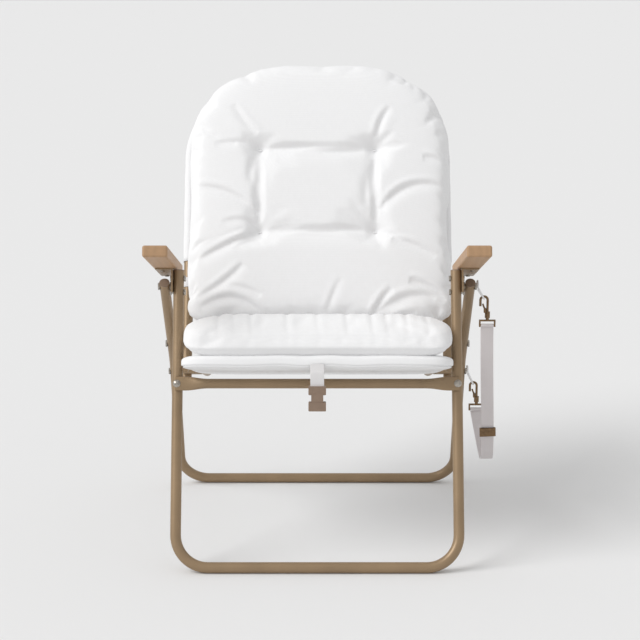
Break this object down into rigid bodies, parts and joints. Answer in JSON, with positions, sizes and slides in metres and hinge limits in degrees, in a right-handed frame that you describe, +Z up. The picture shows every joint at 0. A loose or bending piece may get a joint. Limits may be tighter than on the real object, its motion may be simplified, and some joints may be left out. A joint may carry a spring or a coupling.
{
  "type": "folding beach chair",
  "caption": "Folding beach chair with bent tube legs, sloping wooden armrests, a padded tufted seat and arched back, a linked fold and a side carrying strap.",
  "frame": {"origin": "on the floor at the middle of the chair's footprint, without the strap", "axes": "+X to the right seen from the front, +Y to the rear, +Z up"},
  "size_m": [0.6658, 0.6617, 0.8954],
  "materials": {
    "bronze_paint": "satin",
    "light_wood": "oiled",
    "white_cloth": "matte",
    "white_webbing": "matte",
    "bronze_hardware": "satin",
    "brown_plastic": "matte",
    "grey_nylon": "matte",
    "steel_fastener": "satin"
  },
  "bodies": {
    "front_frame": {"front_leg_tube": "bronze_paint", "front_leg_caps": "brown_plastic", "front_crossbar": "bronze_paint", "crossbar_bolts": "steel_fastener", "seat_hook_pins": "steel_fastener", "left_armrest": "light_wood", "right_armrest": "light_wood", "left_arm_bracket": "bronze_paint", "right_arm_bracket": "bronze_paint", "armrest_screws": "steel_fastener", "arm_bracket_bolts": "steel_fastener", "leg_pivot_bolts": "steel_fastener", "leg_pivot_spacers": "grey_nylon"},
    "rear_frame": {"rear_leg_tube": "bronze_paint", "rear_leg_caps": "brown_plastic", "seat_pivot_rod": "steel_fastener", "seat_rod_nuts": "steel_fastener", "seat_rod_sleeves": "grey_nylon", "back_pivot_bolts": "steel_fastener", "back_pivot_spacers": "grey_nylon", "upper_cord_loop": "white_webbing", "lower_cord_loop": "white_webbing", "upper_snap_hook": "bronze_hardware", "lower_snap_hook": "bronze_hardware", "strap_webbing": "white_webbing", "strap_slider": "bronze_hardware"},
    "upper_gate": {"upper_hook_gate": "bronze_hardware"},
    "lower_gate": {"lower_hook_gate": "bronze_hardware"},
    "seat": {"seat_frame_tube": "bronze_paint", "seat_rear_tube": "bronze_paint", "seat_hook_plates": "bronze_paint", "seat_panel": "white_cloth", "buckle_webbing": "white_webbing", "buckle_socket": "brown_plastic", "seat_cushion": "white_cloth"},
    "back": {"back_frame_tube": "bronze_paint", "back_frame_caps": "brown_plastic", "back_sling": "white_cloth", "cushion_tie_bands": "white_webbing", "back_cushion": "white_cloth"}
  },
  "joints": [
    {"name": "rear_leg_fold", "type": "hinge", "parent": "front_frame", "child": "rear_frame", "pos_m": [0, -0.0548, 0.487], "axis": [-1, 0, 0], "range_deg": [0, 56], "deforming": ["seat_cushion", "back_cushion"]},
    {"name": "seat_fold", "type": "hinge", "parent": "rear_frame", "child": "seat", "pos_m": [0, 0.1255, 0.2764], "axis": [-1, 0, 0], "range_deg": [0, 17.36]},
    {"name": "back_fold", "type": "hinge", "parent": "rear_frame", "child": "back", "pos_m": [0, 0.0742, 0.346], "axis": [1, 0, 0], "range_deg": [0, 56]},
    {"name": "upper_gate_hinge", "type": "hinge", "parent": "rear_frame", "child": "upper_gate", "pos_m": [0.326, -0.0548, 0.441], "axis": [0, 1, 0], "range_deg": [0, 20], "stiffness_Nm_per_rad": 0.02},
    {"name": "lower_gate_hinge", "type": "hinge", "parent": "rear_frame", "child": "lower_gate", "pos_m": [0.326, 0.1255, 0.2264], "axis": [0, 1, 0], "range_deg": [0, 20], "stiffness_Nm_per_rad": 0.02}
  ],
  "couplings": [
    {"joint": "seat_fold", "follows": "rear_leg_fold", "ratio": 0.31},
    {"joint": "back_fold", "follows": "rear_leg_fold", "ratio": 1}
  ]
}
